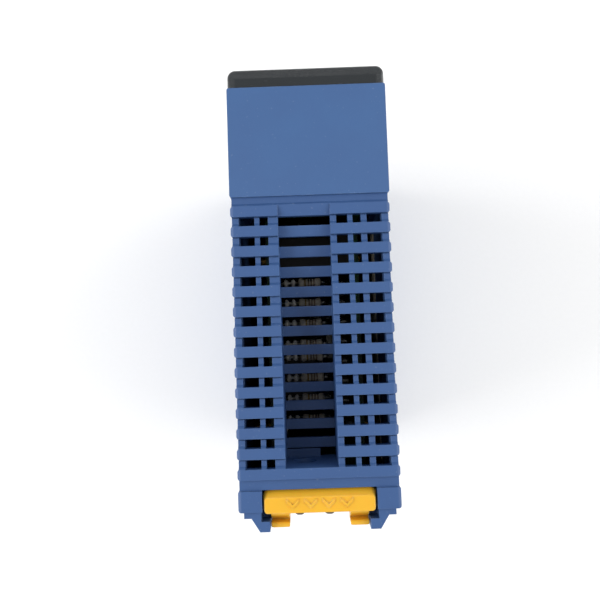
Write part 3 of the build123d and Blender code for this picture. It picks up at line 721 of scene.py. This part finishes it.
@dataclass
class Case:
    """The blue front moulding, with the marks that its ejector pins left."""

    stock: Stock
    pin_radius: float = mm(2.0)
    pin_height: float = mm(0.03)
    outer_edge: float = mm(0.12)
    inner_edge: float = mm(0.05)
    inset: float = mm(9.0)

    def build(self) -> None:
        """Raise a faint ring at each ejector pin on the two flat sides."""
        low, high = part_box("front_housing")
        marks = Shape()
        for x, outward in ((low.x, -1.0), (high.x, 1.0)):
            for z in (low.z + self.inset, (low.z + high.z) / 2, high.z - self.inset):
                centre = Vector((x, (low.y + high.y) / 2, z))
                marks.turned(centre, Axis.X, self.ring(outward))
        marks.finish("front_ejector_marks", "housing", "blue_case", self.stock.made["blue_case"])

    def ring(self, outward: float) -> list[tuple[float, float]]:
        """Give the section of one ejector mark.

        Args:
            outward: 1 where the face looks along the axis, -1 where it looks back.

        Returns:
            The profile of a low ring round a flat.
        """
        rise = self.pin_height * outward
        radius = self.pin_radius
        return [
            (0.0, radius + self.outer_edge),
            (rise, radius + self.inner_edge),
            (rise, radius - self.inner_edge),
            (rise / 8, radius - self.outer_edge),
            (rise / 8, 0.0),
        ]


@dataclass
class Display:
    """Lamps behind the tinted window: lenses on the light guide and print on the mask."""

    stock: Stock
    lens_height: float = mm(0.35)
    lens_radii: tuple[float, float, float] = (mm(0.9), mm(0.7), mm(0.3))
    print_height: float = mm(0.02)
    print_edge: float = mm(0.008)
    ring_outer: float = mm(1.45)
    ring_inner: float = mm(1.2)
    dash: float = mm(1.5)
    dash_width: float = mm(0.3)
    dash_drop: float = mm(1.75)

    def build(self) -> None:
        """Add a lens, a printed ring and a printed dash for each lamp."""
        guide_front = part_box("light_guide")[0].y
        mask_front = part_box("indicator_mask")[0].y
        base, shoulder, crown = self.lens_radii
        rise = -self.print_height
        lens = [
            (0.0, base),
            (-self.lens_height * 0.6, shoulder),
            (-self.lens_height, crown),
            (-self.lens_height, 0.0),
        ]
        outer, inner = self.ring_outer, self.ring_inner
        ring = [(0.0, outer), (rise, outer), (rise, inner), (0.0, inner)]
        lenses, rings, dashes = Shape(), Shape(), Shape()
        for low, high in islands("indicator_leds"):
            middle = (low + high) / 2
            lenses.turned(Vector((middle.x, guide_front, middle.z)), Axis.Y, lens)
            front = Vector((middle.x, mask_front, middle.z))
            rings.turned(front, Axis.Y, ring)
            start = front + Vector((-self.dash / 2, rise, self.dash_drop))
            end = start + Vector((self.dash, self.print_height, self.dash_width))
            dashes.block(start, end, self.print_edge)
        lenses.finish("lamp_lenses", "housing", "clear", self.stock.made["clear"])
        rings.finish("lamp_rings", "housing", "black_plastic", self.stock.made["white_ink"])
        dashes.finish("lamp_marks", "housing", "black_plastic", self.stock.made["white_ink"])


@dataclass
class TerminalBlock:
    """Print on the terminal block: one dot beside each terminal."""

    stock: Stock
    dot: float = mm(0.45)
    dot_sides: int = 16
    print_height: float = mm(0.02)
    off_middle: float = mm(0.75)
    # The block's face stands this far before the heads of the terminal screws.
    proud: float = mm(2.0)

    def build(self) -> None:
        """Print a dot for each screw on the rib between the two columns."""
        block_low, block_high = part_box("terminal_block")
        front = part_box("terminal_screws")[0].y - self.proud
        middle = (block_low.x + block_high.x) / 2
        dot = [(0.0, self.dot), (-self.print_height, self.dot), (-self.print_height, 0.0)]
        marks = Shape()
        for low, high in islands("terminal_screws"):
            toward = 1.0 if (low.x + high.x) / 2 > middle else -1.0
            centre = Vector((middle + toward * self.off_middle, front, (low.z + high.z) / 2))
            marks.turned(centre, Axis.Y, dot, self.dot_sides)
        marks.finish("terminal_marks", "block", "black_plastic", self.stock.made["white_ink"])


@dataclass
class LeverSprings:
    """Coil springs under the lever's stems, which close up as the lever is pressed; these coils keep their
    length.
    """

    stock: Stock
    wire_radius: float = mm(0.18)
    turns: int = 8
    points_per_turn: int = 24

    def build(self) -> None:
        """Replace the stiff coils with coils of round wire."""
        coils = Shape()
        for near, far in islands("lever_springs"):
            coils.wire(self.helix(near, far), self.wire_radius, beside=Axis.Z)
        piece = coils.finish("lever_spring_coils", "housing", "spring_steel", self.stock.made["spring_steel"])
        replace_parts(piece, "lever_springs")
        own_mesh(piece)

    def helix(self, low: Vector, high: Vector) -> list[Vector]:
        """Give the middle line of one coil.

        Args:
            low: the lowest corner of the coil's box.
            high: the highest corner of the coil's box.

        Returns:
            The points of the line, from the bottom up.
        """
        middle = (low + high) / 2
        radius = (high.y - low.y) / 2 - self.wire_radius
        bottom = low.z + self.wire_radius
        rise = high.z - low.z - 2 * self.wire_radius
        count = self.turns * self.points_per_turn
        path = []
        for index in range(count + 1):
            angle = 2 * math.pi * index / self.points_per_turn
            x = middle.x + radius * math.cos(angle)
            y = middle.y + radius * math.sin(angle)
            path.append(Vector((x, y, bottom + rise * index / count)))
        return path


@dataclass
class Resistors:
    """Input resistors seen through the channel: lacquered rods on collared leads."""

    stock: Stock
    wire_radius: float = mm(0.3)
    bend_out: float = mm(0.9)
    bend_radius: float = mm(0.35)
    collar_radius: float = mm(0.78)
    collar_width: float = mm(0.9)
    collar_places: tuple[float, float] = (mm(0.6), mm(2.05))
    band_width: float = mm(0.32)
    band_depth: float = mm(0.03)
    drop: float = WIRE_DROP

    def build(self) -> None:
        """Replace the plain rods and leads, and add bands and beads."""
        rods, brown, gold, leads, collars = Shape(), Shape(), Shape(), Shape(), Shape()
        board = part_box("io_board")[0].x
        for low, high in islands("input_resistors"):
            start = Vector((low.x, (low.y + high.y) / 2, (low.z + high.z) / 2))
            length = high.x - low.x
            radius = (high.y - low.y) / 2
            rods.turned(start, Axis.X, self.rod(length, radius))
            for share, shape in ((0.30, brown), (0.42, brown), (0.54, brown), (0.70, gold)):
                shape.turned(start + Vector((length * share, 0, 0)), Axis.X, self.band(radius * 0.84))
            self.lead(leads, start, length, board)
            for near in self.collar_places:
                collars.turned(start + Vector((length + near, 0, 0)), Axis.X, self.collar())
        made = self.stock.made
        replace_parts(rods.finish("resistor_rods", "housing", "ceramic", made["ceramic"]), "input_resistors")
        brown.finish("resistor_bands_brown", "housing", "ceramic", made["band_brown"])
        gold.finish("resistor_bands_gold", "housing", "ceramic", made["band_gold"])
        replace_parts(leads.finish("resistor_wires", "housing", "tinned", made["tinned"]), "resistor_leads")
        collars.finish("resistor_beads", "housing", "ceramic", made["bead"])

    def rod(self, length: float, radius: float) -> list[tuple[float, float]]:
        """Give the section of a rod with a cap bulge at each end.

        Args:
            length: the rod's length.
            radius: the radius over the caps.

        Returns:
            The profile along the rod.
        """
        half = [(0.0, 0.0), (0.0, 0.55), (0.025, 0.85), (0.07, 1.0), (0.17, 1.0), (0.23, 0.9), (0.28, 0.82)]
        left = [(length * place, radius * share) for place, share in half]
        right = [(length * (1 - place), radius * share) for place, share in reversed(half)]
        return left + right

    def band(self, radius: float) -> list[tuple[float, float]]:
        """Give the section of one colour band.

        Args:
            radius: the band's outer radius.

        Returns:
            The profile along the rod.
        """
        half = self.band_width / 2
        inner = radius - self.band_depth
        return [(-half, inner), (-half, radius), (half, radius), (half, inner)]

    def collar(self) -> list[tuple[float, float]]:
        """Give the section of one bead.

        Returns:
            The profile along the lead.
        """
        bead = ((0.0, 0.5), (0.15, 0.85), (0.35, 1.0), (0.65, 1.0), (0.85, 0.85), (1.0, 0.5))
        return [(self.collar_width * place, self.collar_radius * share) for place, share in bead]

    def lead(self, shape: Shape, start: Vector, length: float, board: float) -> None:
        """Lead the two wires of a resistor to its board.

        Args:
            shape: the shape that takes them.
            start: the end of the rod away from the board.
            length: the rod's length.
            board: where the board's face lies along X.
        """
        near = start + Vector((length, 0, 0))
        shape.wire([near, Vector((board, start.y, start.z))], self.wire_radius)
        bend = start + Vector((-self.bend_out, 0, 0))
        under = bend - Vector((0, 0, self.drop))
        soft = self.bend_radius
        path = [
            start,
            bend + Vector((soft, 0, 0)),
            bend - Vector((0, 0, soft)),
            under + Vector((0, 0, soft)),
            under + Vector((soft, 0, 0)),
            Vector((board, start.y, under.z)),
        ]
        shape.wire(path, self.wire_radius)


@dataclass
class Packages:
    """Integrated circuits and optocouplers: moulded bodies with formed leads."""

    stock: Stock
    lead_width: float = mm(0.45)
    lead_thickness: float = mm(0.2)
    reach: float = mm(1.1)
    foot_height: float = mm(0.12)
    edge: float = mm(0.18)
    dimple_inset: float = mm(1.0)
    dimple_radii: tuple[float, float, float, float] = (mm(0.45), mm(0.42), mm(0.34), mm(0.3))
    dimple_sunk: float = mm(0.01)
    dimple_rise: float = mm(0.02)
    dimple_sides: int = 16

    def build(self) -> None:
        """Replace the plain bodies and give each its leads."""
        leads = Shape()
        # The axis that the leads point along, their pitch, and their number on a side.
        bodies = {
            "optocouplers": (Axis.Z, mm(2.54), 2),
            "register_chips": (Axis.Y, mm(1.27), 8),
            "bus_interface_chip": (Axis.Y, mm(1.0), 11),
        }
        black = self.stock.made["black_plastic"]
        for node, (side, pitch, count) in bodies.items():
            shape = Shape()
            for low, high in islands(node):
                shape.block(low, high, self.edge)
                self.dimple(shape, high)
                self.side_leads(leads, low, high, side, pitch, count)
            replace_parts(shape.finish(node + "_moulded", "housing", "black_plastic", black), node)
        leads.finish("chip_leads", "housing", "tinned", self.stock.made["tinned"])

    def dimple(self, shape: Shape, corner: Vector) -> None:
        """Raise a fine ring that marks the first lead.

        Args:
            shape: the shape that takes it.
            corner: the body's highest corner, on the side away from the board.
        """
        centre = corner - Vector((0, self.dimple_inset, self.dimple_inset))
        heights = (-self.dimple_sunk, self.dimple_rise, self.dimple_rise, -self.dimple_sunk)
        shape.turned(centre, Axis.X, list(zip(heights, self.dimple_radii)), self.dimple_sides)

    def side_leads(self, shape: Shape, low: Vector, high: Vector, side: Axis, pitch: float, count: int) -> None:
        """Bend a row of leads down to the board on two opposite sides.

        Args:
            shape: the shape that takes them.
            low: the body's lowest corner; its X is the board's face.
            high: the body's highest corner.
            side: the axis that the leads point along.
            pitch: the distance between two leads.
            count: the number of leads on a side.
        """
        out = side.value[0]
        along = 3 - out
        exit_height = low.x + (high.x - low.x) * 0.45
        foot = low.x + self.foot_height
        # Height over the board, and share of the reach, at each point of a lead.
        bends = ((exit_height, -0.2), (exit_height, 0.35), (foot, 0.6), (foot, 1.0))
        width = Vector((0.0, 0.0, 0.0))
        width[along] = self.lead_width
        for sign, start in ((-1.0, low[out]), (1.0, high[out])):
            for index in range(count):
                place = (low[along] + high[along]) / 2 + pitch * (index - (count - 1) / 2)
                path = []
                for height, run in bends:
                    point = Vector((height, 0.0, 0.0))
                    point[out] = start + sign * self.reach * run
                    point[along] = place
                    path.append(point)
                shape.ribbon(path, width, self.lead_thickness)


@dataclass
class Capacitors:
    """Electrolytic capacitors: drawn cans with a crimp, in shrunk sleeves."""

    stock: Stock
    crimp: float = mm(1.3)

    def build(self) -> None:
        """Replace the plain cans."""
        cans, sleeves = Shape(), Shape()
        for low, high in islands("electrolytic_capacitors"):
            base = Vector((high.x, (low.y + high.y) / 2, (low.z + high.z) / 2))
            length = high.x - low.x
            radius = (high.y - low.y) / 2
            can = [(0.0, 0.0), (0.0, 0.95), (-0.2, 0.95), (-0.2, 0.0)]
            cans.turned(base, Axis.X, [(length * place, radius * share) for place, share in can])
            top = [(-0.9, 0.9), (-0.97, 0.9), (-1.0, 0.82), (-1.0, 0.7), (-0.985, 0.66), (-0.985, 0.0)]
            cans.turned(base, Axis.X, [(length * place, radius * share) for place, share in top])
            skin = [
                (-mm(0.1), radius * 0.9),
                (-mm(0.25), radius),
                (-self.crimp + mm(0.35), radius),
                (-self.crimp, radius * 0.9),
                (-self.crimp - mm(0.35), radius),
                (-length + mm(0.35), radius),
                (-length + mm(0.08), radius * 0.93),
                (-length + mm(0.02), radius * 0.84),
            ]
            sleeves.turned(base, Axis.X, skin)
        piece = cans.finish("capacitor_cans", "housing", "aluminium", self.stock.made["aluminium"])
        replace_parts(piece, "electrolytic_capacitors")
        sleeves.finish("capacitor_sleeves", "housing", "black_plastic", self.stock.made["sleeve"])


@dataclass
class SolderJoints:
    """Solder cones where leads and contacts pass through the boards."""

    stock: Stock
    radius: float = mm(0.75)
    height: float = mm(0.7)
    sides: int = 16

    def build(self) -> None:
        """Set a cone at each resistor lead and each blade of the terminal header."""
        joints = Shape()
        shares = ((0.0, 1.0), (0.25, 0.8), (0.6, 0.5), (1.0, 0.42), (1.05, 0.0))
        cone = [(self.height * place, self.radius * share) for place, share in shares]
        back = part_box("io_board")[1].x
        for low, high in islands("input_resistors"):
            for drop in (0.0, WIRE_DROP):
                place = Vector((back, (low.y + high.y) / 2, (low.z + high.z) / 2 - drop))
                joints.turned(place, Axis.X, cone, self.sides)
        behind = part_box("terminal_board")[1].y
        for low, high in islands("header_blades"):
            place = Vector(((low.x + high.x) / 2, behind, (low.z + high.z) / 2))
            joints.turned(place, Axis.Y, cone, self.sides)
        joints.finish("solder_joints", "housing", "tinned", self.stock.made["tinned"])


@dataclass
class RatingLabel:
    """Side label with generic printed bars in place of wording."""

    stock: Stock
    print_height: float = mm(0.015)
    margin: float = mm(2.5)
    row_pitch: float = mm(2.6)
    bar_height: float = mm(0.9)
    bar_gap: float = mm(0.9)
    bar_edge: float = mm(0.006)
    bar_lengths: tuple[float, float] = (1.5, 5.0)
    row_ends_early: float = 0.12
    shortest_rest: float = mm(4.0)
    field_top: float = mm(9.0)
    field_line: float = mm(0.3)
    rows_end: float = mm(12.0)
    seed: int = 7

    def build(self) -> None:
        """Print rows of bars and an empty box on the label."""
        dice = random.Random(self.seed)
        low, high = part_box("rating_label")
        print_shape = Shape()
        z = high.z - self.margin
        while z > low.z + self.rows_end:
            y = low.y + self.margin
            while y < high.y - self.margin - self.shortest_rest:
                length = mm(dice.uniform(*self.bar_lengths))
                self.bar(print_shape, low.x, (y, min(y + length, high.y - self.margin)), z)
                y += length + self.bar_gap
                if dice.random() < self.row_ends_early:
                    break
            z -= self.row_pitch
        self.frame_box(print_shape, low, high)
        print_shape.finish("label_print", "housing", "paper", self.stock.made["ink"])

    def bar(self, shape: Shape, x: float, span: tuple[float, float], z: float) -> None:
        """Print one bar.

        Args:
            shape: the shape that takes it.
            x: the label's face.
            span: where it starts and ends along Y.
            z: its top.
        """
        low = Vector((x - self.print_height, span[0], z - self.bar_height))
        shape.block(low, Vector((x, span[1], z)), self.bar_edge)

    def frame_box(self, shape: Shape, low: Vector, high: Vector) -> None:
        """Print the outline of an empty field near the label's lower edge.

        Args:
            shape: the shape that takes it.
            low: the label's lowest corner.
            high: the label's highest corner.
        """
        start, end = low.y + self.margin, high.y - self.margin
        bottom, top = low.z + self.margin, low.z + self.field_top
        line = self.field_line
        lines = (
            (start, bottom, end, bottom + line),
            (start, top - line, end, top),
            (start, bottom, start + line, top),
            (end - line, bottom, end, top),
        )
        for y0, z0, y1, z1 in lines:
            corner = Vector((low.x - self.print_height, y0, z0))
            shape.block(corner, Vector((low.x, y1, z1)), self.bar_edge)


@dataclass
class Studio:
    """Pale floor, soft lights, and the camera above the module."""

    stock: Stock
    floor_half: float = 0.8
    aim: tuple[float, float, float] = (0.0, 0.0, 0.05)
    key_place: tuple[float, float, float] = (0.42, 0.02, 0.38)
    key_size: float = 0.35
    key_power: float = 2.0
    fill_place: tuple[float, float, float] = (-0.44, -0.02, 0.36)
    fill_size: float = 0.5
    fill_power: float = 1.9
    horizon_level: float = 1.15
    overhead_level: float = 0.5
    dims_from: float = 0.15
    dims_to: float = 0.85
    camera_place: tuple[float, float, float] = (0.00134965, 0.00811598, 0.22658402)
    camera_right: tuple[float, float, float] = (-0.999398, 0.03337424, -0.00947563)
    camera_up: tuple[float, float, float] = (-0.03386131, -0.99779976, 0.05700039)
    camera_back: tuple[float, float, float] = (-0.00755243, 0.05728693, 0.99832919)
    lens: float = 42.543
    sensor: float = 36.0
    nearest: float = 0.005

    def build(self) -> None:
        """Lay the floor, hang the lights and set the camera."""
        self.floor()
        self.light("key", self.key_place, self.key_size, self.key_power)
        self.light("fill", self.fill_place, self.fill_size, self.fill_power)
        self.world()
        self.camera()
        bpy.context.scene.view_settings.view_transform = "Standard"

    def floor(self) -> None:
        """Lay a wide sheet of background paper under the module."""
        sheet = bmesh.new()
        bmesh.ops.create_grid(sheet, x_segments=8, y_segments=8, size=self.floor_half)
        data = bpy.data.meshes.new("floor")
        sheet.to_mesh(data)
        sheet.free()
        data.materials.append(self.stock.made["backdrop"])
        floor = bpy.data.objects.new("floor", data)
        bpy.context.scene.collection.objects.link(floor)

    def light(self, name: str, place: tuple[float, float, float], size: float, power: float) -> None:
        """Hang one square soft light that faces the module.

        Args:
            name: the light's name.
            place: where it hangs.
            size: the length of its side.
            power: its power, in watts.
        """
        data = bpy.data.lights.new(name, "AREA")
        data.size = size
        data.energy = power
        lamp = bpy.data.objects.new(name, data)
        lamp.location = place
        lamp.rotation_euler = (Vector(self.aim) - Vector(place)).to_track_quat("-Z", "Y").to_euler()
        bpy.context.scene.collection.objects.link(lamp)

    def world(self) -> None:
        """Fill the room with white light that dims overhead, where the camera blocks it."""
        world = bpy.data.worlds.new("studio")
        world.use_nodes = True
        tree = world.node_tree
        tree.nodes["Background"].inputs["Color"].default_value = (1.0, 1.0, 1.0, 1.0)
        heading = tree.nodes.new("ShaderNodeTexCoord")
        split = tree.nodes.new("ShaderNodeSeparateXYZ")
        fade = tree.nodes.new("ShaderNodeMapRange")
        span = {
            "From Min": self.dims_from,
            "From Max": self.dims_to,
            "To Min": self.horizon_level,
            "To Max": self.overhead_level,
        }
        for name, value in span.items():
            fade.inputs[name].default_value = value
        tree.links.new(heading.outputs["Generated"], split.inputs["Vector"])
        tree.links.new(split.outputs["Z"], fade.inputs["Value"])
        tree.links.new(fade.outputs["Result"], tree.nodes["Background"].inputs["Strength"])
        bpy.context.scene.world = world

    def camera(self) -> None:
        """Set the camera almost straight above the module."""
        data = bpy.data.cameras.new("camera")
        data.lens = self.lens
        data.sensor_width = self.sensor
        data.clip_start = self.nearest
        camera = bpy.data.objects.new("camera", data)
        turn = Matrix((self.camera_right, self.camera_up, self.camera_back)).transposed().to_4x4()
        camera.matrix_world = Matrix.Translation(self.camera_place) @ turn
        bpy.context.scene.collection.objects.link(camera)
        bpy.context.scene.camera = camera


def main() -> None:
    """Build every class in order."""
    logging.basicConfig(level=logging.INFO, format="%(message)s")
    stock = Stock()
    stock.build()
    CadSkin(stock).dress()
    builders: list[Callable[[], None]] = [
        Case(stock).build,
        Display(stock).build,
        TerminalBlock(stock).build,
        LeverSprings(stock).build,
        Resistors(stock).build,
        Packages(stock).build,
        Capacitors(stock).build,
        SolderJoints(stock).build,
        RatingLabel(stock).build,
        Studio(stock).build,
    ]
    for build in builders:
        build()


if __name__ == "__main__":
    main()
